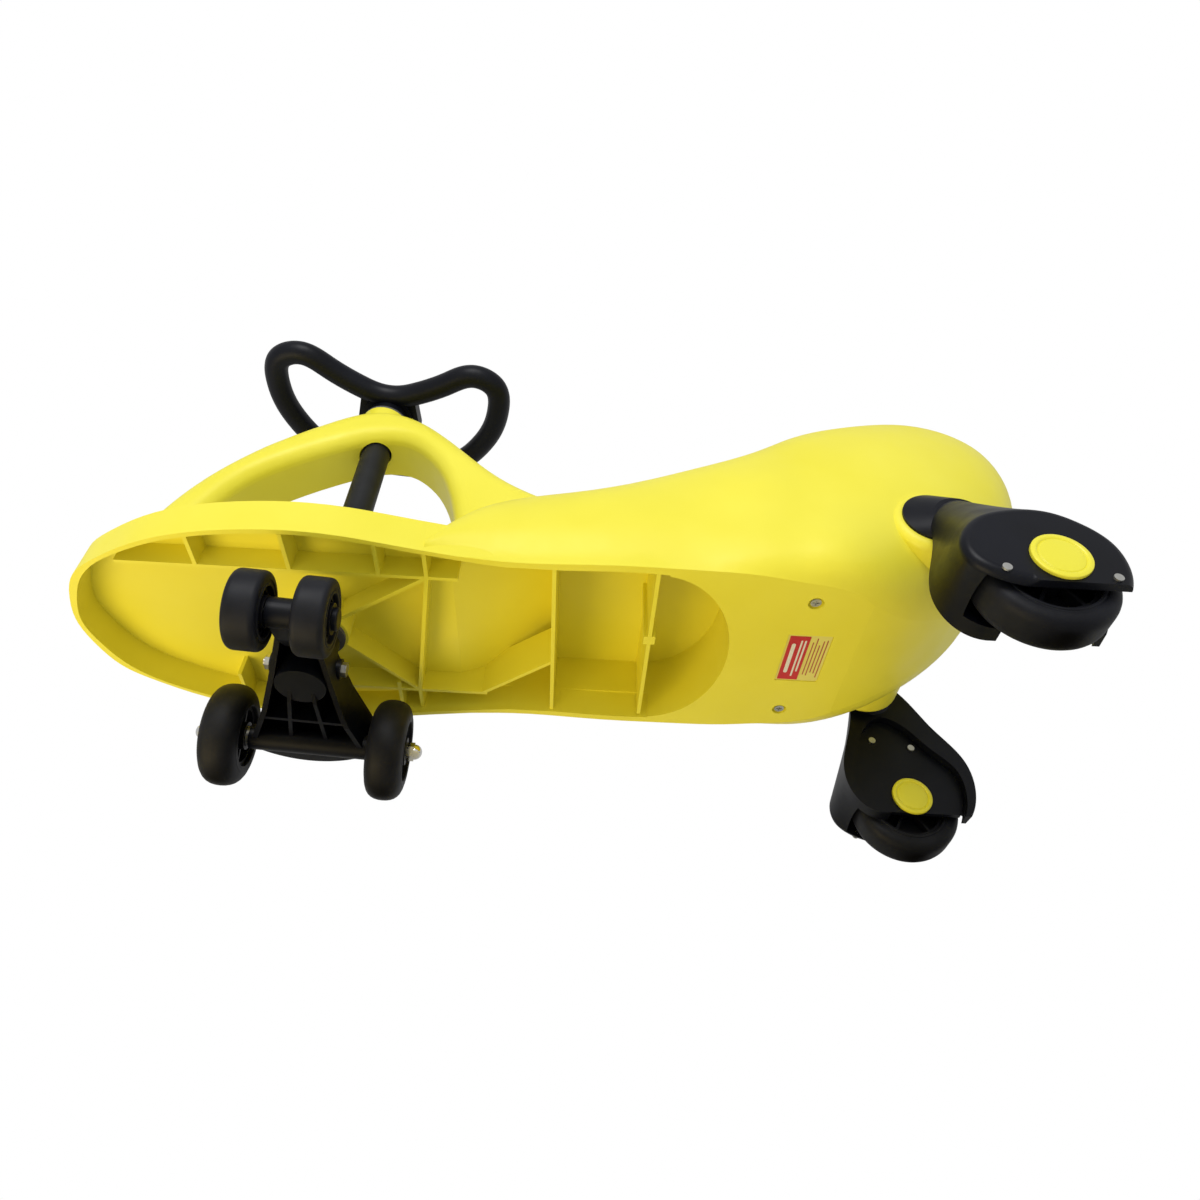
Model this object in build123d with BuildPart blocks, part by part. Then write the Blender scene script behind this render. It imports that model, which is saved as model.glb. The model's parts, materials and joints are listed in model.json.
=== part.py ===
"""Ride-on swing car: yellow body, butterfly steering wheel, steered front truck, two rear wheel arms.

Frame: millimetres, +X toward the nose, +Y left, +Z up, ground at z = 0.
The steering is drawn straight ahead about its own pivot and then placed turned to the left.
"""
import os
from math import atan2, degrees, hypot

from build123d import *

os.makedirs("parts", exist_ok=True)

# ---- body ----
RIM_Z = 91.0                # underside rim and closed flat bottom
DECK_Z = 121.0              # top of the front platform
WALL = 4.0
# half of the platform outline, nose to waist: (x, half width)
RIM = [(390, 0), (385, 28), (372, 55), (352, 71), (330, 84), (299, 97), (271, 104), (234, 109),
       (199, 110), (165, 107), (131, 101), (95, 95), (47, 89.5), (5, 90.5), (-36, 92), (-62, 91)]
# seat sections: (x, bottom z, top z, half width, half width of the flat bottom, tuck)
SEAT = [(113, 89.5, 117, 99, 97.5, 0), (101, 89.5, 148, 97.5, 96, 0), (84, 89.5, 176, 95.5, 94.5, 0),
        (55, 89.5, 199, 93.5, 92, 0), (15, 89.5, 212, 94.5, 92.5, 0), (-40, 89.5, 232, 97, 94.5, 0),
        (-100, 89.5, 262, 100.5, 93, 0), (-160, 89.5, 300, 104, 84, 0), (-215, 91, 331, 105, 67, 0.2),
        (-262, 102, 347, 101, 42, 0.75), (-302, 127, 352, 92, 31, 0.95), (-337, 165, 343, 79, 24, 0.9),
        (-364, 211, 325, 59, 17, 0.7), (-381, 243, 303, 35, 11, 0.4), (-390, 260, 284, 12, 4, 0)]
# shares of the half width and height at a section's points, and the half widths of a fully tucked one
SECTION_SHAPE = [(0.968, 0.07), (1.0, 0.25), (0.995, 0.45), (0.93, 0.66), (0.79, 0.82), (0.52, 0.935)]
TUCKED_SHAPE = [0.72, 0.94, 0.995, 0.93, 0.79, 0.52]
CAVITY_FRONT_Z = 116.5      # ceiling under the platform
WELL_Z = 151.0              # ceiling under the seat front
WELL_START_X = 100.0        # the ceiling slopes up from here to the full depth
WELL_DEEP_X = 25.0
CAVITY_END_X = -57.0        # centre of the rounded rear end of the cavity
CAVITY_END_LONG = 60.0
CAVITY_END_HALF = 86.0
RIB = 3.0
RIB_SET_BACK = 6.0          # ribs stop this far above the rim
LONG_RIB_Y = 64.0
LOW_RIB_Y = 73.0            # the long rib of the right side
SIDE_RIB_X = (283.0, 215.0, 150.0)
CROSS_RIB_X = (21.0, -54.0)
STAR_LEFT = (115.0, LONG_RIB_Y)     # where the diagonal ribs meet
STAR_RIGHT = (133.0, -LOW_RIB_Y)

# ---- arch over the steering column (side outline, x and z) ----
ARCH_OUTER = [(384, 112), (376, 158), (365, 195), (353, 225), (337, 254), (318, 280), (296, 304), (272, 325),
              (249, 343), (224, 358), (204, 363), (173, 356), (137, 330), (102, 295), (68, 266), (38, 249),
              (0, 232), (-45, 218)]
ARCH_INNER = [(344, 112), (338, 150), (329, 190), (316, 226), (300, 253), (276, 276), (251, 294), (230, 307),
              (210, 317), (192, 321), (174, 319), (157, 308), (141, 289), (129, 265), (119, 234), (111, 195),
              (105, 152), (102, 112)]
ARCH_HALF = 25.0
ARCH_ROUND = 15.0
ARCH_LOWER_ROUND = 14.0

# ---- steering ----
PIVOT_X = 205.0
STEER_ANGLE = 95.0
COLUMN_R = 13.0
COLUMN_TOP = 388.0
BUSH_R = 17.0
BUSH_LONG = 22.0
BUSH_FIT = 0.06             # running clearance between column and bushes
ARCH_BOSS_R = 22.5
ARCH_BOSS_LOW = 330.0
ARCH_BOSS_Z = 365.5
DECK_BOSS_R = 24.0
WHEEL_Z = 390.0
TUBE_R = 11.0
COLUMN_FOOT = 44.0
HUB_R = 24.0
# half of the steering wheel centre line, dip to tail: (ahead, sideways)
WHEEL_LOOP = [(19, 0), (26, 27), (43, 58), (55, 83), (46, 104), (20, 109), (-5, 104), (-27, 93),
              (-46, 78), (-61, 54), (-67, 27), (-68, 0)]

# ---- front truck (ahead and sideways of the pivot) ----
AXLE_BACK = -74.0
AXLE_Z = 40.25
AXLE_R = 4.0
FIT = 0.05                  # radial running or press fit clearance
BAR_HALF = 46.0
BAR_R = 10.0
BOLT_Z = 60.0
BOLT_R = 3.0
BOLT_HEAD_Y = 26.05
BOLT_BOSS_R = 8.0
AXLE_HALF = 84.0
NUT_Y = 76.8
GUIDE_CAP_Y = 33.0
GUIDE_AXLE_HALF = 35.0
GUIDE_AHEAD = 88.0
GUIDE_Z = 34.8
PLATE_TOP = 70.0
PLATE_LOW = 34.0
TRUCK = [(-72, 45), (-30, 31), (10, 22), (46, 15), (46, -15), (10, -22), (-30, -31), (-72, -45)]
TRUCK_BOSS_R = 19.0
TRUCK_BOSS_TOP = 85.0
FRONT_TRACK = 125.5
GUIDE_TRACK = 43.0

# ---- wheels: tyre radius, tyre width, rim radius, hub length, bore of the bush ----
FRONT_TYRE = (40.25, 29.0, 24.0, 27.4)
GUIDE_TYRE = (27.4, 22.0, 17.0, 22.6)
REAR_TYRE = (44.5, 30.0, 31.0, 35.0)
BUSH_OUT = 6.5
HUB_BOSS_R = 11.0

# ---- underside screws and label ----
SCREW_X = -172.0
SCREW_Y = 66.0
SCREW_POST_R = 9.0
SCREW_POCKET_R = 6.0
LABEL_X = -177.0
LABEL_SIZE = (34, 56)
LABEL_THICK = 0.4
LABEL_TOP = RIM_Z + 1.0      # the label lies in a shallow recess

# ---- rear arms ----
REAR_X = -292.0
REAR_Y = 142.0
REAR_Z = 44.5
ARM_IN = 111.0              # inner and outer faces of the wheel housing
ARM_OUT = 168.0
POCKET_Y = 123.0
HOUSING_Y = 162.0
HOUSING_R = 48.5
ARM_BOTTOM = 24.0
# housing outlines, front bottom over the top to rear bottom: (x, z)
ARM_INNER = [(-262, 24), (-246, 31), (-237, 46), (-235, 66), (-241, 90), (-250, 120), (-257, 149),
             (-277, 165), (-299, 151), (-323, 112), (-344, 79), (-345, 44), (-336, 24)]
ARM_OUTER = [(-268, 24), (-250, 29), (-236, 39), (-233, 53), (-241, 70), (-254, 81), (-267, 86), (-283, 89),
             (-300, 88), (-317, 80), (-332, 64), (-336, 44), (-331, 24)]
POCKET = [(-268, 24), (-252, 34), (-244, 50), (-248, 76), (-258, 104), (-277, 121), (-297, 112), (-316, 90),
          (-334, 70), (-337, 44), (-331, 24)]
SOCKET_X = -262.0
SOCKET_Z = 150.0
SOCKET_R = 25.0
SOCKET_LIP_R = 32.0
NECK_END = (-276.0, 142.0, 20.0)    # x, z and radius where the neck meets the housing
SOCKET_Y = (62.0, 104.0)
COVER_Y = (118.5, 122.8)
COVER_GAP = 0.5
COVER_LOW = 29.0
OUTER_SCREWS = ((-255, 33), (-322, 29))
COVER_SCREWS = ((-268, 100), (-302, 94))
CAP_OUT_R = 19.0
CAP_IN_R = 17.0

LOW = (Align.CENTER, Align.CENTER, Align.MIN)
HIGH = (Align.CENTER, Align.CENTER, Align.MAX)
SIDES = ((1, "left"), (-1, "right"))
STEER = Location((PIVOT_X, 0, 0), (0, 0, STEER_ANGLE))


def section_points(bottom, top, half, flat, tuck, inset):
    """Points of one seat cross section, left bottom corner over the top to the right one."""
    tall = top - bottom
    side = [(flat - inset, bottom)]
    for (wide, high), tucked in zip(SECTION_SHAPE, TUCKED_SHAPE):
        side.append((half * (wide + tuck * (tucked - wide)) - inset, bottom + tall * high))
    return [*side, (0, top), *[(-y, z) for y, z in reversed(side)]]


def seat_sections(sections, inset):
    """Draw the seat cross sections, each pulled in by inset all round."""
    drawn = []
    for x, bottom, top, half, flat, tuck in sections:
        with BuildSketch(Plane.YZ.offset(x)) as cut:
            with BuildLine():
                over = Spline(*section_points(bottom + inset, top - inset, half, flat, tuck, inset))
                Line(over @ 1, over @ 0)
            make_face()
        drawn.append(cut.sketch)
    return drawn


def rim_outline(inset):
    """Platform outline as a list of points, right waist round the nose to the left waist."""
    half = [(x - inset if y < 60 else x, y - inset if y else 0) for x, y in RIM]
    half = [(x, max(y, 0)) for x, y in half]
    return [*[(x, -y) for x, y in reversed(half) if y > 0], *half]


def flat_wall(start, end):
    """Draw the plan of one straight rib between two points."""
    (x1, y1), (x2, y2) = start, end
    middle = Location(((x1 + x2) / 2, (y1 + y2) / 2, 0), (0, 0, degrees(atan2(y2 - y1, x2 - x1))))
    with Locations(middle):
        Rectangle(hypot(x2 - x1, y2 - y1), RIB)


def spline_face(points, plane):
    """Face on a plane, bounded by a spline through the points and a straight closing line."""
    with BuildSketch(plane) as drawn:
        with BuildLine():
            edge = Spline(*points)
            Line(edge @ 1, edge @ 0)
        make_face()
    return drawn.sketch


def seat_hollow():
    """Closed hollow of the seat, stepped up over the open underside."""
    with BuildPart() as hollow:
        loft(seat_sections(SEAT[3:-1], WALL + 0.5))
        with Locations((CAVITY_END_X - CAVITY_END_LONG - WALL, 0, WELL_Z + WALL)):
            Box(400, 300, 200, align=(Align.MIN, Align.CENTER, Align.MAX), mode=Mode.SUBTRACT)
    return hollow.part


def cover_outline():
    """Pocket outline with a small gap all round and a raised lower edge."""
    middle = REAR_X + 2, REAR_Z + 15
    points = []
    for x, z in POCKET:
        reach = hypot(x - middle[0], z - middle[1])
        shrink = 1 - COVER_GAP / reach
        points.append((middle[0] + (x - middle[0]) * shrink, middle[1] + (z - middle[1]) * shrink))
    return [(points[0][0], COVER_LOW), *points[1:-1], (points[-1][0], COVER_LOW)]


def side_disc(radius, x, z, start, stop, mode=Mode.ADD):
    """Disc or round pin across the car, between two values of Y."""
    with BuildSketch(Plane.XZ.offset(-start)) as disc:
        with Locations((x, z)):
            Circle(radius)
    extrude(disc.sketch, amount=start - stop, mode=mode)


def side_hex(flats, x, z, start, stop):
    """Hexagon of a nut or bolt head across the car, between two values of Y."""
    with BuildSketch(Plane.XZ.offset(-start)) as head:
        with Locations((x, z)):
            RegularPolygon(flats / 2, 6, major_radius=False)
    extrude(head.sketch, amount=start - stop)


def make_body():
    hollow = seat_hollow()
    with BuildPart() as body_shell:
        # arch: side outline with rounded edges
        with BuildSketch(Plane.XZ):
            with BuildLine():
                top = Spline(*ARCH_OUTER)
                low = Spline(*ARCH_INNER)
                Line(top @ 0, low @ 0)
                Polyline(low @ 1, (ARCH_OUTER[-1][0], ARCH_INNER[-1][1]), top @ 1)
            make_face()
        extrude(amount=ARCH_HALF, both=True)
        runs = body_shell.edges().filter_by(lambda e: e.length > 300).sort_by(SortBy.LENGTH)
        fillet(runs[-2:], ARCH_ROUND)
        runs = body_shell.edges().filter_by(lambda e: e.length > 300).sort_by(SortBy.LENGTH)
        fillet(runs[:2], ARCH_LOWER_ROUND)
        # hollow seat, trimmed flat below
        loft(seat_sections(SEAT, 0))
        with Locations((0, 0, RIM_Z)):
            Box(900, 300, 20, align=HIGH, mode=Mode.SUBTRACT)
        add(hollow, mode=Mode.SUBTRACT)
        # platform and its open underside, deeper under the seat
        extrude(spline_face(rim_outline(0), Plane.XY.offset(RIM_Z)), amount=DECK_Z - RIM_Z)
        extrude(spline_face(rim_outline(WALL), Plane.XY.offset(RIM_Z)), amount=CAVITY_FRONT_Z - RIM_Z,
                mode=Mode.SUBTRACT)
        with BuildSketch(Plane.XY.offset(RIM_Z)):
            with Locations((CAVITY_END_X, 0)):
                Ellipse(CAVITY_END_LONG, CAVITY_END_HALF)
            with Locations(((CAVITY_END_X + WELL_DEEP_X) / 2, 0)):
                Rectangle(WELL_DEEP_X - CAVITY_END_X, 2 * CAVITY_END_HALF)
        extrude(amount=WELL_Z - RIM_Z, mode=Mode.SUBTRACT)
        with BuildSketch(Plane.XZ):
            Polygon((WELL_START_X, RIM_Z), (WELL_START_X, CAVITY_FRONT_Z), (WELL_DEEP_X, WELL_Z),
                    (WELL_DEEP_X - 5, WELL_Z), (WELL_DEEP_X - 5, RIM_Z), align=None)
        extrude(amount=CAVITY_END_HALF, both=True, mode=Mode.SUBTRACT)
        # ribs of the underside
        with BuildSketch(Plane.XY.offset(RIM_Z + RIB_SET_BACK)):
            flat_wall((92, LONG_RIB_Y), (342, LONG_RIB_Y))
            flat_wall((78, -LOW_RIB_Y), (262, -LOW_RIB_Y))
            flat_wall(STAR_LEFT, STAR_RIGHT)
            for star, turn in ((STAR_LEFT, 1), (STAR_RIGHT, -1)):
                flat_wall(star, (PIVOT_X, 0))
                flat_wall(star, (star[0], turn * 98))
                for x in SIDE_RIB_X:
                    flat_wall((x, turn * LONG_RIB_Y), (x, turn * 100))
        extrude(amount=CAVITY_FRONT_Z - RIM_Z - RIB_SET_BACK + 1)
        with BuildSketch(Plane.XY.offset(RIM_Z + RIB_SET_BACK)):
            flat_wall((80, -LOW_RIB_Y), (CROSS_RIB_X[0], -26))
            flat_wall((98, -LOW_RIB_Y), (76, -LOW_RIB_Y))
        extrude(amount=CAVITY_FRONT_Z - RIM_Z + 12)
        with BuildSketch(Plane.XY.offset(RIM_Z + 2)):
            for x in CROSS_RIB_X:
                flat_wall((x, 0.5 - CAVITY_END_HALF), (x, CAVITY_END_HALF - 0.5))
            with Locations((CROSS_RIB_X[1], 12)):
                Rectangle(9, 9)
        extrude(amount=WELL_Z - RIM_Z - 1)
        # bosses of the steering column and their bush seats
        with Locations((PIVOT_X, 0, RIM_Z + 1)):
            Cylinder(DECK_BOSS_R, DECK_Z - RIM_Z + 3, align=LOW)
        with Locations((PIVOT_X, 0, ARCH_BOSS_LOW)):
            Cylinder(ARCH_BOSS_R, ARCH_BOSS_Z - ARCH_BOSS_LOW, align=LOW)
        with Locations((PIVOT_X, 0, RIM_Z)):
            Cylinder(COLUMN_R + 1.5, ARCH_BOSS_Z - RIM_Z, align=LOW, mode=Mode.SUBTRACT)
            Cylinder(BUSH_R + FIT, BUSH_LONG + 1, align=LOW, mode=Mode.SUBTRACT)
        with Locations((PIVOT_X, 0, ARCH_BOSS_Z)):
            Cylinder(BUSH_R + FIT, BUSH_LONG, align=HIGH, mode=Mode.SUBTRACT)
        # arm sockets with a raised lip, and the posts of the underside screws
        for side, _ in SIDES:
            start, stop = side * SOCKET_Y[0], side * SOCKET_Y[1]
            with BuildSketch(Plane.XY.offset(SOCKET_Z)):
                with BuildLine():
                    reach = SOCKET_X + SOCKET_LIP_R
                    lip = ThreePointArc((reach, stop - side * 7), (reach - 2, stop - side * 2),
                                        (reach - 7, stop))
                    Polyline(lip @ 1, (SOCKET_X, stop), (SOCKET_X, start - side * WALL),
                             (reach, start - side * WALL), lip @ 0)
                make_face()
            revolve(axis=Axis((SOCKET_X, 0, SOCKET_Z), (0, 1, 0)))
            side_disc(SOCKET_R + FIT, SOCKET_X, SOCKET_Z, start, stop, Mode.SUBTRACT)
        with Locations(*[(SCREW_X, side * SCREW_Y, RIM_Z) for side, _ in SIDES]):
            Cylinder(SCREW_POST_R, 26, align=LOW)
            Cylinder(SCREW_POCKET_R, 3, align=LOW, mode=Mode.SUBTRACT)
            Cylinder(2.0 + FIT, 20, align=LOW, mode=Mode.SUBTRACT)
        with Locations((LABEL_X, 2, RIM_Z)):
            Box(LABEL_SIZE[0] + 0.6, LABEL_SIZE[1] + 0.6, LABEL_TOP - RIM_Z, align=LOW, mode=Mode.SUBTRACT)
    body_shell.part.label = "body_shell"
    export_step(body_shell.part, "parts/body_shell.step")


def make_body_fittings():
    for name, z, seat, rest in (("column_bush_upper", ARCH_BOSS_Z, HIGH, LOW),
                                ("column_bush_lower", RIM_Z + 1, LOW, HIGH)):
        with BuildPart() as bush:
            with Locations((PIVOT_X, 0, z)):
                Cylinder(BUSH_R, BUSH_LONG - 1, align=seat)
                Cylinder(BUSH_R + 5, 3, align=rest)
                Cylinder(COLUMN_R + BUSH_FIT, 60, mode=Mode.SUBTRACT)
        bush.part.label = name
        export_step(bush.part, f"parts/{name}.step")

    with BuildPart() as underside_screws:
        with Locations(*[(SCREW_X, side * SCREW_Y, RIM_Z + 3) for side, _ in SIDES]):
            Cylinder(4.0, 2.2, align=HIGH)
            Cylinder(2.0, 16, align=LOW)
        with Locations(*[(SCREW_X, side * SCREW_Y, RIM_Z + 0.8) for side, _ in SIDES]):
            Box(5, 1.1, 1.0, align=LOW, mode=Mode.SUBTRACT)
            Box(1.1, 5, 1.0, align=LOW, mode=Mode.SUBTRACT)
    underside_screws.part.label = "underside_screws"
    export_step(underside_screws.part, "parts/underside_screws.step")

    with BuildPart() as care_label:
        with BuildSketch(Plane.XY.offset(LABEL_TOP - LABEL_THICK)):
            with Locations((LABEL_X, 2)):
                RectangleRounded(*LABEL_SIZE, 1.5)
        extrude(amount=LABEL_THICK)
    care_label.part.label = "care_label"
    export_step(care_label.part, "parts/care_label.step")

    with BuildPart() as care_label_band:
        with BuildSketch(Plane.XY.offset(LABEL_TOP - 2 * LABEL_THICK)):
            with Locations((LABEL_X + LABEL_SIZE[0] / 2 - 9.5, 2)):
                Rectangle(16, LABEL_SIZE[1] - 3)
        extrude(amount=LABEL_THICK)
    care_label_band.part.label = "care_label_band"
    export_step(care_label_band.part, "parts/care_label_band.step")


def save_steered(pieces, lift=0):
    """Turn pieces drawn straight ahead to the steered position and save them."""
    for name, piece in pieces.items():
        placed = piece.part.moved(STEER * Location((0, 0, lift)))
        placed.label = name
        export_step(placed, f"parts/{name}.step")


def make_steering():
    with BuildPart() as steering_column:
        with Locations((0, 0, COLUMN_FOOT)):
            Cylinder(COLUMN_R, COLUMN_TOP - COLUMN_FOOT, align=LOW)
        chamfer(steering_column.edges().filter_by(GeomType.CIRCLE), 1)
        with Locations((0, 0, COLUMN_FOOT)):
            Cylinder(COLUMN_R - 3, COLUMN_TOP - COLUMN_FOOT - 40, align=LOW, mode=Mode.SUBTRACT)
        with Locations((0, 0, COLUMN_TOP)):
            Cylinder(3 + FIT, 25, align=HIGH, mode=Mode.SUBTRACT)
        side_disc(BOLT_R + FIT, 0, BOLT_Z, -30, 30, Mode.SUBTRACT)

    with BuildPart() as steering_wheel:
        with BuildLine() as half_loop:
            Spline(*WHEEL_LOOP, tangents=((0, 1), (0, -1)))
        with BuildSketch(Plane(origin=half_loop.line @ 0, z_dir=half_loop.line % 0)):
            Circle(TUBE_R)
        sweep()
        mirror(about=Plane.XZ)
        Cylinder(HUB_R, 20)
        with BuildSketch(Plane.XY.offset(-7)):
            tail = WHEEL_LOOP[-1][0]
            Polygon((tail, 27), (-10, 31), (22, 26), (22, -26), (-10, -31), (tail, -27), align=None)
        extrude(amount=14)
        with Locations((0, 0, -9)):
            Cylinder(COLUMN_R + 6, 9, align=HIGH)
        with Locations((0, 0, COLUMN_TOP - WHEEL_Z)):
            Cylinder(COLUMN_R + FIT, 40, align=HIGH, mode=Mode.SUBTRACT)
        with Locations((0, 0, 10)):
            Cylinder(14, 5, align=HIGH, mode=Mode.SUBTRACT)
            Cylinder(3 + FIT, 40, align=HIGH, mode=Mode.SUBTRACT)

    with BuildPart() as wheel_screw:
        with Locations((0, 0, WHEEL_Z + 5)):
            Cylinder(6, 3, align=LOW)
            Cylinder(3, WHEEL_Z + 5 - COLUMN_TOP + 22, align=HIGH)
        with BuildSketch(Plane.XY.offset(WHEEL_Z + 8)):
            RegularPolygon(2.5, 6, major_radius=False)
        extrude(amount=-2.0, mode=Mode.SUBTRACT)

    with BuildPart() as wheel_cap:
        with BuildSketch(Plane.XZ):
            low = WHEEL_Z + 10.05
            with BuildLine():
                rise = ThreePointArc((0, low + 4), (13, low + 2.6), (22, low))
                Polyline(rise @ 1, (13.9, low), (13.9, low - 3), (11.5, low - 3), (11.5, low + 0.6),
                         (0, low + 0.6), rise @ 0)
            make_face()
        revolve(axis=Axis.Z)

    save_steered({"steering_wheel": steering_wheel}, WHEEL_Z)
    save_steered({"steering_column": steering_column, "wheel_screw": wheel_screw,
                  "wheel_cap": wheel_cap})


def make_truck():
    with BuildPart() as truck_bracket:
        # tapered plate with side flanges and ribs, open below
        with BuildSketch(Plane.XY.offset(PLATE_LOW)):
            Polygon(*TRUCK, align=None)
        extrude(amount=PLATE_TOP - PLATE_LOW)
        fillet(truck_bracket.edges().group_by(Axis.Z)[-1], 3)
        with BuildSketch(Plane.XY.offset(PLATE_LOW)):
            Polygon(*TRUCK, align=None)
            offset(amount=-WALL)
        extrude(amount=PLATE_TOP - PLATE_LOW - WALL, mode=Mode.SUBTRACT)
        with BuildSketch(Plane.XY.offset(PLATE_LOW + 4)):
            for side, _ in SIDES:
                flat_wall((-70, side * 14), (0, side * 8))
            flat_wall((-42, -32), (-42, 32))
        extrude(amount=PLATE_TOP - PLATE_LOW - 5)
        # flanges rise toward the guide wheels
        with BuildSketch(Plane.XZ.offset(-60)):
            Polygon((-46, PLATE_LOW - 1), (60, PLATE_LOW - 1), (60, 52), align=None)
        extrude(amount=120, mode=Mode.SUBTRACT)
        # axle bar, bowed outward
        side_disc(BAR_R, AXLE_BACK, AXLE_Z, -BAR_HALF, BAR_HALF)
        with BuildSketch(Plane.XY.offset(AXLE_Z - 8)):
            with BuildLine():
                bow = ThreePointArc((AXLE_BACK, BAR_HALF), (AXLE_BACK - 15, 0), (AXLE_BACK, -BAR_HALF))
                Line(bow @ 1, bow @ 0)
            make_face()
        extrude(amount=16)
        # pivot boss, neck and guide axle hub
        with Locations((0, 0, COLUMN_FOOT - 4)):
            Cylinder(TRUCK_BOSS_R, TRUCK_BOSS_TOP - COLUMN_FOOT + 4, align=LOW)
        with BuildSketch(Plane.XZ.offset(-9)):
            Polygon((34, PLATE_TOP - 1), (34, 50), (58, 36), (GUIDE_AHEAD, GUIDE_Z - 9),
                    (GUIDE_AHEAD, GUIDE_Z + 9), (68, 58), (52, PLATE_TOP - 1), align=None)
        extrude(amount=18)
        side_disc(10.5, GUIDE_AHEAD, GUIDE_Z, -9.5, 9.5)
        side_disc(BOLT_BOSS_R, 0, BOLT_Z, -BOLT_HEAD_Y + 0.05, BOLT_HEAD_Y - 0.05)
        side_disc(AXLE_R + FIT, GUIDE_AHEAD, GUIDE_Z, -30, 30, Mode.SUBTRACT)
        side_disc(AXLE_R + FIT, AXLE_BACK, AXLE_Z, -60, 60, Mode.SUBTRACT)
        with Locations((0, 0, COLUMN_FOOT)):
            Cylinder(COLUMN_R + FIT, 80, align=LOW, mode=Mode.SUBTRACT)
        side_disc(BOLT_R + FIT, 0, BOLT_Z, -30, 30, Mode.SUBTRACT)

    with BuildPart() as column_bolt:
        side_disc(BOLT_R, 0, BOLT_Z, -BOLT_HEAD_Y - 5.5, BOLT_HEAD_Y)
        side_hex(10, 0, BOLT_Z, BOLT_HEAD_Y, BOLT_HEAD_Y + 4)

    with BuildPart() as column_nut:
        side_hex(10, 0, BOLT_Z, -BOLT_HEAD_Y, -BOLT_HEAD_Y - 4)
        side_disc(BOLT_R + FIT, 0, BOLT_Z, -40, 0, Mode.SUBTRACT)

    with BuildPart() as front_axle:
        side_disc(AXLE_R, AXLE_BACK, AXLE_Z, -AXLE_HALF, AXLE_HALF)

    with BuildPart() as guide_axle:
        side_disc(AXLE_R, GUIDE_AHEAD, GUIDE_Z, -GUIDE_AXLE_HALF, GUIDE_AXLE_HALF)

    save_steered({"truck_bracket": truck_bracket, "column_bolt": column_bolt, "column_nut": column_nut,
                  "front_axle": front_axle, "guide_axle": guide_axle})

    for side, where in SIDES:
        with BuildPart() as axle_spacer:
            side_disc(8, AXLE_BACK, AXLE_Z, side * (BAR_HALF + 0.05), side * (BAR_HALF + 2.65))
            side_disc(AXLE_R + FIT, AXLE_BACK, AXLE_Z, 0, side * 60, Mode.SUBTRACT)

        with BuildPart() as dome_nut:
            with Locations((AXLE_BACK, side * (NUT_Y + 6), AXLE_Z)):
                Sphere(6.2)
            side_disc(9, AXLE_BACK, AXLE_Z, 0, side * (NUT_Y + 6), Mode.SUBTRACT)
            side_hex(13, AXLE_BACK, AXLE_Z, side * NUT_Y, side * (NUT_Y + 6))
            side_disc(AXLE_R + FIT, AXLE_BACK, AXLE_Z, 0, side * (AXLE_HALF + 0.5), Mode.SUBTRACT)

        with BuildPart() as guide_cap:
            side_disc(8, GUIDE_AHEAD, GUIDE_Z, side * GUIDE_CAP_Y, side * (GUIDE_CAP_Y + 3.6))
            rims = guide_cap.edges().filter_by(GeomType.CIRCLE).sort_by(Axis.Y)
            fillet(rims[-1 if side > 0 else 0], 1.5)
            side_disc(AXLE_R + FIT, GUIDE_AHEAD, GUIDE_Z, 0, side * (GUIDE_AXLE_HALF + 0.3), Mode.SUBTRACT)

        save_steered({f"axle_spacer_{where}": axle_spacer, f"dome_nut_{where}": dome_nut,
                      f"guide_cap_{where}": guide_cap})


def make_wheel(kind, sizes, shoulder, places):
    """Tyre, hub and bush of one kind of wheel, drawn about +Y and set down at each place."""
    radius, width, rim, hub_long = sizes
    with BuildPart() as tyre:
        with BuildSketch():
            with Locations(((radius + rim + FIT) / 2, 0)):
                box = Rectangle(radius - rim - FIT, width)
            fillet(box.vertices().group_by(Axis.X)[-1], shoulder)
            fillet(box.vertices().group_by(Axis.X)[0], 1.5)
        revolve(axis=Axis.Y)
    with BuildPart() as hub:
        with BuildSketch():
            with Locations((rim - RIB / 2, 0)):
                Rectangle(RIB, width - 7)
            with Locations(((rim + BUSH_OUT) / 2, 0)):
                Rectangle(rim - BUSH_OUT - 1, 5)
            with Locations(((HUB_BOSS_R + BUSH_OUT + FIT) / 2, 0)):
                Rectangle(HUB_BOSS_R - BUSH_OUT - FIT, hub_long)
        revolve(axis=Axis.Y)
        with BuildSketch(Plane.XZ.offset(-(width - 9) / 2)):
            with PolarLocations((rim + HUB_BOSS_R) / 2 - 1, 6):
                Rectangle(rim - HUB_BOSS_R - 1, 2.4)
        extrude(amount=width - 9)
    with BuildPart() as bush:
        with Locations(Location((0, 0, 0), (90, 0, 0))):
            Cylinder(BUSH_OUT, hub_long)
            Cylinder(AXLE_R + FIT, hub_long + 1, mode=Mode.SUBTRACT)
    for where, place in places.items():
        for piece, name in ((tyre, "tyre"), (hub, "hub"), (bush, "bush")):
            placed = piece.part.moved(place)
            placed.label = f"{kind}_{name}_{where}"
            export_step(placed, f"parts/{kind}_{name}_{where}.step")


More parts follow.
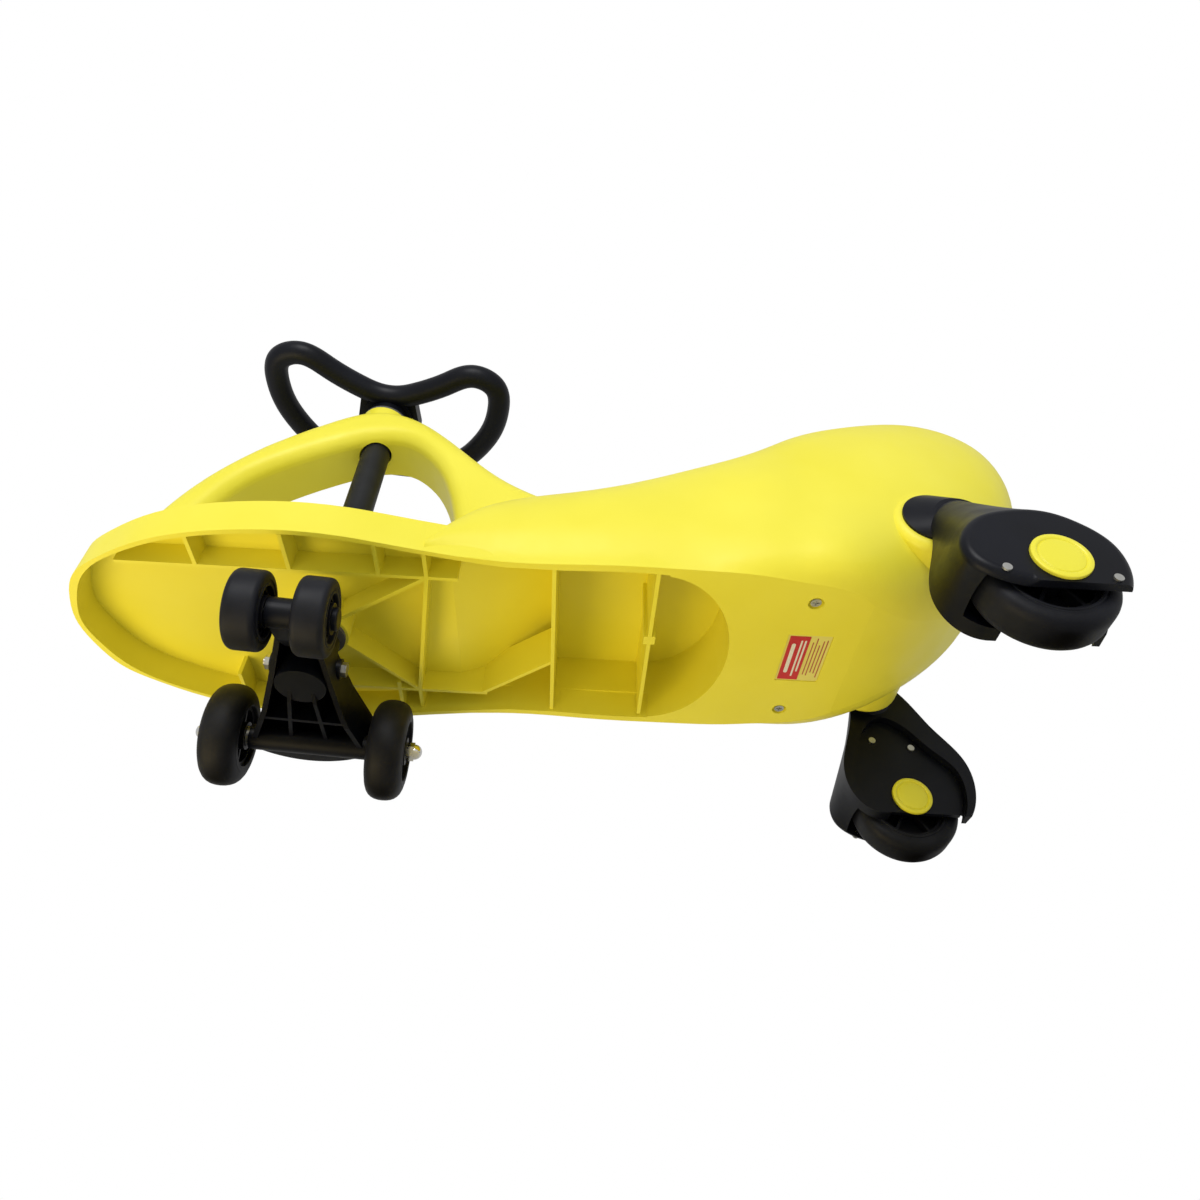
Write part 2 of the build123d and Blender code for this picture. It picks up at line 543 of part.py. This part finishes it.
def make_arms():
    """Left rear arm and its fittings, then the right one as its mirror."""
    with BuildPart() as rear_arm:
        loft([spline_face(ARM_INNER, Plane.XZ.offset(-ARM_IN)),
              spline_face(ARM_OUTER, Plane.XZ.offset(-ARM_OUT))])
        outer = rear_arm.edges().filter_by(lambda e: e.length > 150).sort_by(Axis.Y)[-1]
        fillet(outer, 6)
        # neck from the body socket to the top of the housing
        side_disc(SOCKET_R, SOCKET_X, SOCKET_Z, SOCKET_Y[0] + 1, SOCKET_Y[1] + 2)
        for y, (x, z, radius) in ((SOCKET_Y[1] + 2, (SOCKET_X, SOCKET_Z, SOCKET_R)), (ARM_IN + 4, NECK_END)):
            with BuildSketch(Plane.XZ.offset(-y)):
                with Locations((x, z)):
                    Circle(radius)
        loft()
        # inner pocket with its raised rim, then the wheel housing and the axle seat
        extrude(spline_face(POCKET, Plane.XZ.offset(-ARM_IN)), amount=ARM_IN - POCKET_Y,
                mode=Mode.SUBTRACT)
        side_disc(HOUSING_R, REAR_X, REAR_Z, POCKET_Y, HOUSING_Y, Mode.SUBTRACT)
        side_disc(AXLE_R + FIT, REAR_X, REAR_Z, HOUSING_Y, ARM_OUT, Mode.SUBTRACT)
        side_disc(10, REAR_X, REAR_Z, ARM_OUT - 3.5, ARM_OUT, Mode.SUBTRACT)
        for x, z in OUTER_SCREWS:
            side_disc(1.55, x, z, HOUSING_Y, ARM_OUT, Mode.SUBTRACT)
        for x, z in COVER_SCREWS:
            side_disc(1.55, x, z, POCKET_Y, POCKET_Y + 10, Mode.SUBTRACT)

    with BuildPart() as arm_cover:
        extrude(spline_face(cover_outline(), Plane.XZ.offset(-COVER_Y[0])), amount=COVER_Y[0] - COVER_Y[1])
        side_disc(AXLE_R + FIT, REAR_X, REAR_Z, COVER_Y[0], COVER_Y[1], Mode.SUBTRACT)
        side_disc(9, REAR_X, REAR_Z, COVER_Y[0], COVER_Y[0] + 1.8, Mode.SUBTRACT)
        for x, z in COVER_SCREWS:
            side_disc(1.6, x, z, COVER_Y[0], COVER_Y[1], Mode.SUBTRACT)

    with BuildPart() as arm_screws:
        for x, z in OUTER_SCREWS:
            side_disc(1.5, x, z, HOUSING_Y + 1, ARM_OUT + 1)
            side_disc(3, x, z, ARM_OUT, ARM_OUT + 1.4)
        for x, z in COVER_SCREWS:
            side_disc(1.5, x, z, COVER_Y[0], POCKET_Y + 8)
            side_disc(3, x, z, COVER_Y[0] - 1.4, COVER_Y[0])

    with BuildPart() as rear_axle:
        side_disc(AXLE_R, REAR_X, REAR_Z, COVER_Y[0] + 0.1, ARM_OUT - 3.4)
        side_disc(7.5, REAR_X, REAR_Z, ARM_OUT - 3.4, ARM_OUT - 1.4)

    with BuildPart() as axle_clip:
        side_disc(8, REAR_X, REAR_Z, COVER_Y[0] + 0.2, COVER_Y[0] + 1.7)
        side_disc(AXLE_R + FIT, REAR_X, REAR_Z, COVER_Y[0], COVER_Y[0] + 3, Mode.SUBTRACT)

    with BuildPart() as hub_cap_outer:
        side_disc(CAP_OUT_R, REAR_X, REAR_Z, ARM_OUT + 0.05, ARM_OUT + 3.2)
        fillet(hub_cap_outer.edges().filter_by(GeomType.CIRCLE).sort_by(Axis.Y)[-1], 1.5)
        side_disc(9.9, REAR_X, REAR_Z, ARM_OUT - 1.2, ARM_OUT + 0.1)

    with BuildPart() as hub_cap_inner:
        side_disc(CAP_IN_R, REAR_X, REAR_Z, COVER_Y[0] - 0.05, COVER_Y[0] - 3.2)
        fillet(hub_cap_inner.edges().filter_by(GeomType.CIRCLE).sort_by(Axis.Y)[0], 1.5)

    pieces = {"rear_arm": rear_arm, "arm_cover": arm_cover, "arm_screws": arm_screws,
              "rear_axle": rear_axle, "axle_clip": axle_clip, "hub_cap_outer": hub_cap_outer,
              "hub_cap_inner": hub_cap_inner}
    for name, piece in pieces.items():
        for side, where in SIDES:
            placed = piece.part if side > 0 else piece.part.mirror(Plane.XZ)
            placed.label = f"{name}_{where}"
            export_step(placed, f"parts/{name}_{where}.step")


make_body()
make_body_fittings()
make_steering()
make_truck()
for kind, sizes, ahead, high, track, shoulder in (
        ("front", FRONT_TYRE, AXLE_BACK, AXLE_Z, FRONT_TRACK, 13.5),
        ("guide", GUIDE_TYRE, GUIDE_AHEAD, GUIDE_Z, GUIDE_TRACK, 4.5)):
    make_wheel(kind, sizes, shoulder,
               {where: STEER * Location((ahead, side * track / 2, high)) for side, where in SIDES})
make_wheel("rear", REAR_TYRE, 9,
           {where: Location((REAR_X, side * REAR_Y, REAR_Z)) for side, where in SIDES})
make_arms()
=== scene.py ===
"""Looks of the ride-on swing car: materials, refined pieces, floor, light and camera."""

import json
import math

import bpy
import numpy as np
from mathutils import Matrix, Vector


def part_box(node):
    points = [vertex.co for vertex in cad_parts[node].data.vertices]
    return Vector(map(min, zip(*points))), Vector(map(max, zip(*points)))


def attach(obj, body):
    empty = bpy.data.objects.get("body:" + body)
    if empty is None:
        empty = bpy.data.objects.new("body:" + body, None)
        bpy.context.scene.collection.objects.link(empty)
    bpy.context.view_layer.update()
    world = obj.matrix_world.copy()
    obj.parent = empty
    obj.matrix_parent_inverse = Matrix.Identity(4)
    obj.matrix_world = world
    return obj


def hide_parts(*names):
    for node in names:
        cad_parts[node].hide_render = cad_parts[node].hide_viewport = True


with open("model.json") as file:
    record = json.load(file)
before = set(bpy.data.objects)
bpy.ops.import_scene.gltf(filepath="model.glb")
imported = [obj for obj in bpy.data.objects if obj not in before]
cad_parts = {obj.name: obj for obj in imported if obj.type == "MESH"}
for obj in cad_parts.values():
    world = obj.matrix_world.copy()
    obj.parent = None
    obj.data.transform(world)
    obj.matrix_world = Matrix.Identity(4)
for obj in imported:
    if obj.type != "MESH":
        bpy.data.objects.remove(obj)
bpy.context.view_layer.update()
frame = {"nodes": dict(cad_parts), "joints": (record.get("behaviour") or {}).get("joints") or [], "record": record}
NODES = frame["nodes"]

NOISE_RANGE = (0.3, 0.7)     # where most of a noise texture's values lie
CREASE = math.radians(38)    # edges sharper than this stay sharp


# ---------------------------------------------------------------- materials
def new_material(name):
    """An empty node material: its tree, its shader and its object coordinates."""
    mat = bpy.data.materials.new(name)
    mat.use_nodes = True
    tree = mat.node_tree
    shader = tree.nodes["Principled BSDF"]
    coords = tree.nodes.new("ShaderNodeTexCoord")
    return mat, tree, shader, coords.outputs["Object"]


def noise(tree, vector, scale, detail=3.0):
    """Fractal noise of the given scale, in cells per metre."""
    node = tree.nodes.new("ShaderNodeTexNoise")
    node.inputs["Scale"].default_value = scale
    node.inputs["Detail"].default_value = detail
    node.inputs["Roughness"].default_value = 0.5
    tree.links.new(vector, node.inputs["Vector"])
    return node.outputs["Fac"]


def ramp(tree, factor, low, high):
    """Colour ramp from low to high over the middle of the factor's range."""
    node = tree.nodes.new("ShaderNodeValToRGB")
    for element, position, colour in zip(node.color_ramp.elements, NOISE_RANGE, (low, high)):
        element.position = position
        element.color = (*colour, 1)
    tree.links.new(factor, node.inputs["Fac"])
    return node.outputs["Color"]


def spread(tree, factor, low, high):
    """The middle of the factor's range mapped to low to high."""
    node = tree.nodes.new("ShaderNodeMapRange")
    node.inputs["From Min"].default_value, node.inputs["From Max"].default_value = NOISE_RANGE
    node.inputs["To Min"].default_value = low
    node.inputs["To Max"].default_value = high
    tree.links.new(factor, node.inputs["Value"])
    return node.outputs["Result"]


def bump(tree, shader, height, strength, distance):
    """A bump of the given depth in metres on the shader's normal."""
    node = tree.nodes.new("ShaderNodeBump")
    node.inputs["Strength"].default_value = strength
    node.inputs["Distance"].default_value = distance
    tree.links.new(height, node.inputs["Height"])
    tree.links.new(node.outputs["Normal"], shader.inputs["Normal"])
    return node


def moulded(name, low, high, rough, grain=900.0, cloud=9.0, gloss=0.5):
    """Moulded plastic: slow colour drift, uneven gloss, a fine grain and a wider flow ripple."""
    mat, tree, shader, at = new_material(name)
    tree.links.new(ramp(tree, noise(tree, at, cloud), low, high), shader.inputs["Base Color"])
    tree.links.new(spread(tree, noise(tree, at, 38.0), *rough), shader.inputs["Roughness"])
    ripple = bump(tree, shader, noise(tree, at, 14.0, 1.0), 0.25, 0.0012)
    fine = bump(tree, shader, noise(tree, at, grain, 2.0), 0.35, 0.00004)
    tree.links.new(ripple.outputs["Normal"], fine.inputs["Normal"])
    shader.inputs["Specular IOR Level"].default_value = gloss
    return mat


def rubber(name, low, high):
    """Hard moulded tyre: dull, with a dusty mottling and a fine grain."""
    mat, tree, shader, at = new_material(name)
    tree.links.new(ramp(tree, noise(tree, at, 60.0, 5.0), low, high), shader.inputs["Base Color"])
    tree.links.new(spread(tree, noise(tree, at, 25.0), 0.46, 0.62), shader.inputs["Roughness"])
    bump(tree, shader, noise(tree, at, 1400.0, 2.0), 0.4, 0.00005)
    shader.inputs["Specular IOR Level"].default_value = 0.22
    return mat


def metal(name, low, high, rough):
    """Plated steel: faint cloudiness and fine scratches."""
    mat, tree, shader, at = new_material(name)
    shader.inputs["Metallic"].default_value = 1.0
    tree.links.new(ramp(tree, noise(tree, at, 120.0), low, high), shader.inputs["Base Color"])
    tree.links.new(spread(tree, noise(tree, at, 300.0, 4.0), *rough), shader.inputs["Roughness"])
    bump(tree, shader, noise(tree, at, 2500.0, 2.0), 0.2, 0.00002)
    return mat


YELLOW = moulded("yellow_shell", (0.86, 0.775, 0.045), (0.91, 0.83, 0.07), (0.36, 0.48), gloss=0.35)
CAP = moulded("yellow_cap", (0.82, 0.75, 0.035), (0.88, 0.81, 0.055), (0.3, 0.4), gloss=0.4)
BLACK = moulded("black_moulding", (0.0015, 0.002, 0.0045), (0.004, 0.005, 0.010), (0.34, 0.46),
                cloud=20.0, gloss=0.2)
HUB = moulded("black_hub", (0.003, 0.0032, 0.005), (0.007, 0.0075, 0.011), (0.42, 0.54),
              cloud=30.0, gloss=0.2)
TYRE = rubber("tyre_black", (0.0035, 0.004, 0.007), (0.009, 0.010, 0.015))
COLUMN = moulded("column_charcoal", (0.008, 0.0085, 0.010), (0.014, 0.015, 0.017), (0.4, 0.54),
                 cloud=40.0, gloss=0.25)
BUSH = moulded("bush_grey", (0.07, 0.07, 0.075), (0.11, 0.11, 0.115), (0.45, 0.6), cloud=60.0)
ZINC = metal("zinc_steel", (0.50, 0.50, 0.48), (0.66, 0.66, 0.63), (0.28, 0.45))
BRIGHT = metal("bright_steel", (0.74, 0.73, 0.70), (0.86, 0.85, 0.82), (0.10, 0.22))
PALE = moulded("label_pale", (0.80, 0.72, 0.16), (0.85, 0.77, 0.21), (0.3, 0.4), grain=400.0)
RED = moulded("label_red", (0.52, 0.012, 0.02), (0.66, 0.03, 0.035), (0.3, 0.42), grain=400.0)
PRINT_WHITE = moulded("print_white", (0.78, 0.76, 0.72), (0.88, 0.87, 0.84), (0.4, 0.5), grain=400.0)
PRINT_RED = moulded("print_red", (0.42, 0.10, 0.05), (0.52, 0.14, 0.07), (0.4, 0.5), grain=400.0)

FINISH = {"body_yellow": YELLOW, "cap_yellow": CAP, "moulding_black": BLACK, "hub_black": HUB,
          "tyre_black": TYRE, "column_black": COLUMN, "bush_grey": BUSH, "zinc_steel": ZINC,
          "bright_steel": BRIGHT, "label_pale": PALE, "label_red": RED}
for part in frame["record"]["subparts"]:
    node = NODES[part["node"]]
    for index in range(len(node.material_slots)):
        node.material_slots[index].material = FINISH[part["material_slot"]]


# ---------------------------------------------------------------- refined pieces
def add_piece(name, points, faces, material, body, smooth=True):
    """A mesh piece from an array of points and a list of faces, riding on a body."""
    mesh = bpy.data.meshes.new(name)
    mesh.from_pydata(points.tolist(), [], faces)
    mesh.materials.append(material)
    if smooth:
        mesh.polygons.foreach_set("use_smooth", np.ones(len(mesh.polygons), bool))
        mesh.set_sharp_from_angle(angle=CREASE)
    piece = bpy.data.objects.new(name, mesh)
    bpy.context.scene.collection.objects.link(piece)
    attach(piece, body)
    return piece


def rounded(corners, radii, steps):
    """A closed profile with rounded corners: each corner is a quadratic curve between the points at its
    radius along both sides, so p(t) = (1-t)^2 a + 2t(1-t) corner + t^2 b."""
    corners = np.array(corners, float)
    radii = np.array(radii, float)[:, None]
    to_last = np.roll(corners, 1, 0) - corners
    to_next = np.roll(corners, -1, 0) - corners
    start = corners + to_last / np.linalg.norm(to_last, axis=1, keepdims=True) * radii
    end = corners + to_next / np.linalg.norm(to_next, axis=1, keepdims=True) * radii
    t = np.linspace(0, 1, steps)[None, :, None]
    curve = (1 - t) ** 2 * start[:, None] + 2 * t * (1 - t) * corners[:, None] + t ** 2 * end[:, None]
    return curve.reshape(-1, 2)


def turned(profile, centre, axis, around=128):
    """A closed profile of (radius, along) carried round an axis:
    centre + along * axis + radius * (cos u * first + sin u * second), with both spokes across the axis."""
    axis = np.array(axis, float)
    first = np.cross(axis, (0, 0, 1.0))
    first /= np.linalg.norm(first)
    second = np.cross(axis, first)
    u = np.linspace(0, 2 * np.pi, around, endpoint=False)[:, None]
    spoke = np.cos(u) * first + np.sin(u) * second
    points = np.array(centre) + profile[None, :, 1:2] * axis + profile[None, :, 0:1] * spoke[:, None]
    count = len(profile)
    i, j = np.meshgrid(np.arange(around), np.arange(count), indexing="ij")
    i2, j2 = (i + 1) % around, (j + 1) % count
    faces = np.stack([i * count + j, i * count + j2, i2 * count + j2, i2 * count + j], -1).reshape(-1, 4)
    return points.reshape(-1, 3), faces


def turned_piece(name, profile, centre, axis, material, body, node):
    """A turned piece in place of a CAD node. The sign of the profile's area, the shoelace sum, says which
    way round it runs, and its faces are turned over where they would point inwards."""
    points, faces = turned(profile, centre, axis)
    radius, along = profile[:, 0], profile[:, 1]
    area = np.sum(radius * np.roll(along, -1) - np.roll(radius, -1) * along) / 2
    faces = faces if area > 0 else faces[:, ::-1]
    piece = add_piece(name, points, faces.tolist(), material, body)
    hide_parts(node)


def tyre_profile(radius, half, rim, shoulder):
    """Half crown to bead: a round-shouldered tread with a shallow groove in each side wall. The groove
    is a step between four radii, in order from the bead."""
    inner, floor_in, floor_out, outer = rim + 0.0018, rim + 0.0024, rim + 0.0038, rim + 0.0044
    floor_at = half - 0.0007
    corners = [(radius, half), (radius, -half),
               (outer, -half), (floor_out, -floor_at), (floor_in, -floor_at), (inner, -half),
               (rim, -half), (rim, half),
               (inner, half), (floor_in, floor_at), (floor_out, floor_at), (outer, half)]
    groove_edges, beads = [0.0002] * 4, [0.0009] * 2
    return rounded(corners, [shoulder] * 2 + groove_edges + beads + groove_edges, 9)


# radius, half width, rim radius and shoulder of each kind of tyre
TYRES = {"front": (0.04025, 0.0145, 0.02405, 0.0143), "guide": (0.0274, 0.0110, 0.01705, 0.0048),
         "rear": (0.0445, 0.0150, 0.03105, 0.0098)}
for joint in frame["joints"]:
    kind, _, side = joint["name"].removesuffix("_turn").partition("_wheel_")
    if kind in TYRES:
        name = f"{kind}_tyre_{side}"
        turned_piece(f"moulded_{name}", tyre_profile(*TYRES[kind]), joint["pos_m"], joint["axis"], TYRE,
                     joint["child"], name)


CAP_RIM = 0.0031      # how deep a cap's rim goes
AXIS_GAP = 0.00001    # radius of the pole of a cap
CAP_RADII = {"outer": 0.019, "inner": 0.017}


def hub_cap(node, radius):
    """Push-in cap: a crowned face inside a shallow ring, then a rounded rim. Each corner is a share of
    the radius, a depth under the face and the rounding there."""
    low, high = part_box(node)
    middle = (low + high) / 2
    out = 1.0 if (middle.y > 0) == ("outer" in node) else -1.0
    face, back = (high.y, low.y) if out > 0 else (-low.y, -high.y)
    rim_depth = min(CAP_RIM, face - back)
    shape = np.array([(0.0, 0.0001, 0.0), (0.45, 0.0002, 0.002), (0.74, 0.0006, 0.0006),
                      (0.77, 0.0013, 0.0004), (0.80, 0.0006, 0.0004), (0.86, 0.0, 0.0006),
                      (1.0, 0.0006, 0.0008), (1.0, CAP_RIM, 0.0002), (0.0, rim_depth, 0.0)])
    corners = np.stack([np.maximum(shape[:, 0] * radius, AXIS_GAP), face - shape[:, 1]], 1)
    profile = rounded(corners, shape[:, 2], 7)
    turned_piece(f"dished_{node}", profile, (middle.x, 0, middle.z), (0, out, 0), CAP,
                 "car", node)


for side in ("left", "right"):
    for place, cap_radius in CAP_RADII.items():
        hub_cap(f"hub_cap_{place}_{side}", cap_radius)


PRINT_THICK = 0.00012


def printed_bars(name, top, bars, material):
    """Flat bars with round ends: a stadium outline, two half circles apart by the bar's straight length,
    carried down through the print's thickness."""
    half = np.linspace(0, np.pi, 9)
    arc = np.stack([np.cos(half), np.sin(half)], 1)
    ends = np.concatenate([arc, -arc])
    side_of = np.repeat([1, -1], len(arc))
    count = len(ends)
    k = np.arange(count)
    following = (k + 1) % count
    walls = np.stack([k + count, following + count, following, k], 1)
    points, faces = [], []
    for x, y, long, wide in bars:
        ring = ends * wide / 2
        ring[:, 1] += side_of * (long - wide) / 2
        ring += (x, y)
        base = len(points) * 2 * count
        points.append(np.concatenate([np.c_[ring, np.full(count, top)],
                                      np.c_[ring, np.full(count, top - PRINT_THICK)]]))
        faces += (walls + base).tolist() + [(k + base).tolist(), (k[::-1] + count + base).tolist()]
    add_piece(name, np.concatenate(points), faces, material, "car", smooth=False)


def label_print():
    """Three pale bars on the red band and five thin ones beside it, in place of lettering. A bar is its
    middle, its length and its width."""
    band_low, band_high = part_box("care_label_band")
    paper_low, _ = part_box("care_label")
    x, y = (band_low.x + band_high.x) / 2, (band_low.y + band_high.y) / 2
    heading = [(x + 0.0035, y, 0.036, 0.0030), (x - 0.0020, y, 0.044, 0.0014),
               (x - 0.0050, y + 0.003, 0.038, 0.0014)]
    printed_bars("label_heading_bars", band_low.z, heading, PRINT_WHITE)
    rows = [(paper_low.x + 0.0025 + 0.0027 * row, y + 0.002 * (row % 2), 0.046 - 0.006 * (row % 3),
             0.0009) for row in range(5)]
    printed_bars("label_small_bars", paper_low.z, rows, PRINT_RED)


label_print()


# ---------------------------------------------------------------- floor, light, camera
FLOOR_REACH = 6.0         # half the floor's side
FLOOR_DROP = 0.0006       # how far the floor lies under the wheels
AMBIENT, BACKDROP = 0.55, 1.0
MIDDLE = (0, 0, 0.15)     # what the key light aims at
EYE = (0.00164, 0.52143, -0.34185)
TURN_Z, TURN_Y, TURN_X = 176.87393981, -1.38954509, 133.01257791


def mixed(tree, factor, first, second, output):
    """Two shaders mixed by a factor and linked to the tree's output node."""
    mix = tree.nodes.new("ShaderNodeMixShader")
    tree.links.new(factor, mix.inputs["Fac"])
    tree.links.new(first, mix.inputs[1])
    tree.links.new(second, mix.inputs[2])
    tree.links.new(mix.outputs["Shader"], tree.nodes[output].inputs["Surface"])


def floor():
    """Pale floor at the ground, seen from above only: from below it lets the view through."""
    mesh = bpy.data.meshes.new("floor")
    corners = [(x * FLOOR_REACH, y * FLOOR_REACH, 0) for x, y in ((-1, -1), (1, -1), (1, 1), (-1, 1))]
    mesh.from_pydata(corners, [], [(0, 1, 2, 3)])
    slab = bpy.data.objects.new("floor", mesh)
    slab.location.z = -FLOOR_DROP
    bpy.context.scene.collection.objects.link(slab)
    slab.visible_shadow = False
    mat, tree, shader, _ = new_material("pale_floor")
    shader.inputs["Base Color"].default_value = (0.86, 0.86, 0.86, 1)
    shader.inputs["Roughness"].default_value = 0.9
    clear = tree.nodes.new("ShaderNodeBsdfTransparent")
    side = tree.nodes.new("ShaderNodeNewGeometry")
    mixed(tree, side.outputs["Backfacing"], shader.outputs["BSDF"], clear.outputs["BSDF"],
          "Material Output")
    mesh.materials.append(mat)


def area_light(name, place, aim, size, watts, colour=(1, 1, 1)):
    """A round area light at a place, turned toward its aim."""
    light = bpy.data.lights.new(name, "AREA")
    light.shape = "DISK"
    light.size = size
    light.energy = watts
    light.color = colour
    lamp = bpy.data.objects.new(name, light)
    lamp.location = place
    lamp.rotation_euler = (Vector(aim) - Vector(place)).to_track_quat("-Z", "Y").to_euler()
    bpy.context.scene.collection.objects.link(lamp)


def studio():
    """White backdrop, gentle all-round light, a broad key on the left side and a warm fill below
    the nose."""
    world = bpy.data.worlds.new("studio")
    world.use_nodes = True
    tree = world.node_tree
    soft, white = tree.nodes["Background"], tree.nodes.new("ShaderNodeBackground")
    for background, strength in ((soft, AMBIENT), (white, BACKDROP)):
        background.inputs["Color"].default_value = (1.0, 1.0, 1.0, 1)
        background.inputs["Strength"].default_value = strength
    path = tree.nodes.new("ShaderNodeLightPath")
    mixed(tree, path.outputs["Is Camera Ray"], soft.outputs["Background"], white.outputs["Background"],
          "World Output")
    bpy.context.scene.world = world
    area_light("key", (0.25, 1.8, 0.55), MIDDLE, 1.0, 17)
    area_light("nose_fill", (0.75, 0.1, -0.85), (0.15, 0, 0.1), 0.8, 7, (1.0, 0.80, 0.42))


def camera():
    """Low viewpoint under the left side, looking up at the underside."""
    lens = bpy.data.cameras.new("view")
    lens.sensor_width = 36.0
    lens.lens = 25.80
    lens.clip_start = 0.01
    eye = bpy.data.objects.new("view", lens)
    eye.matrix_world = Matrix.Translation(EYE) @ (
        Matrix.Rotation(math.radians(TURN_Z), 4, "Z")
        @ Matrix.Rotation(math.radians(TURN_Y), 4, "Y")
        @ Matrix.Rotation(math.radians(TURN_X), 4, "X"))
    bpy.context.scene.collection.objects.link(eye)
    bpy.context.scene.camera = eye


floor()
studio()
camera()
bpy.context.scene.view_settings.view_transform = "Standard"
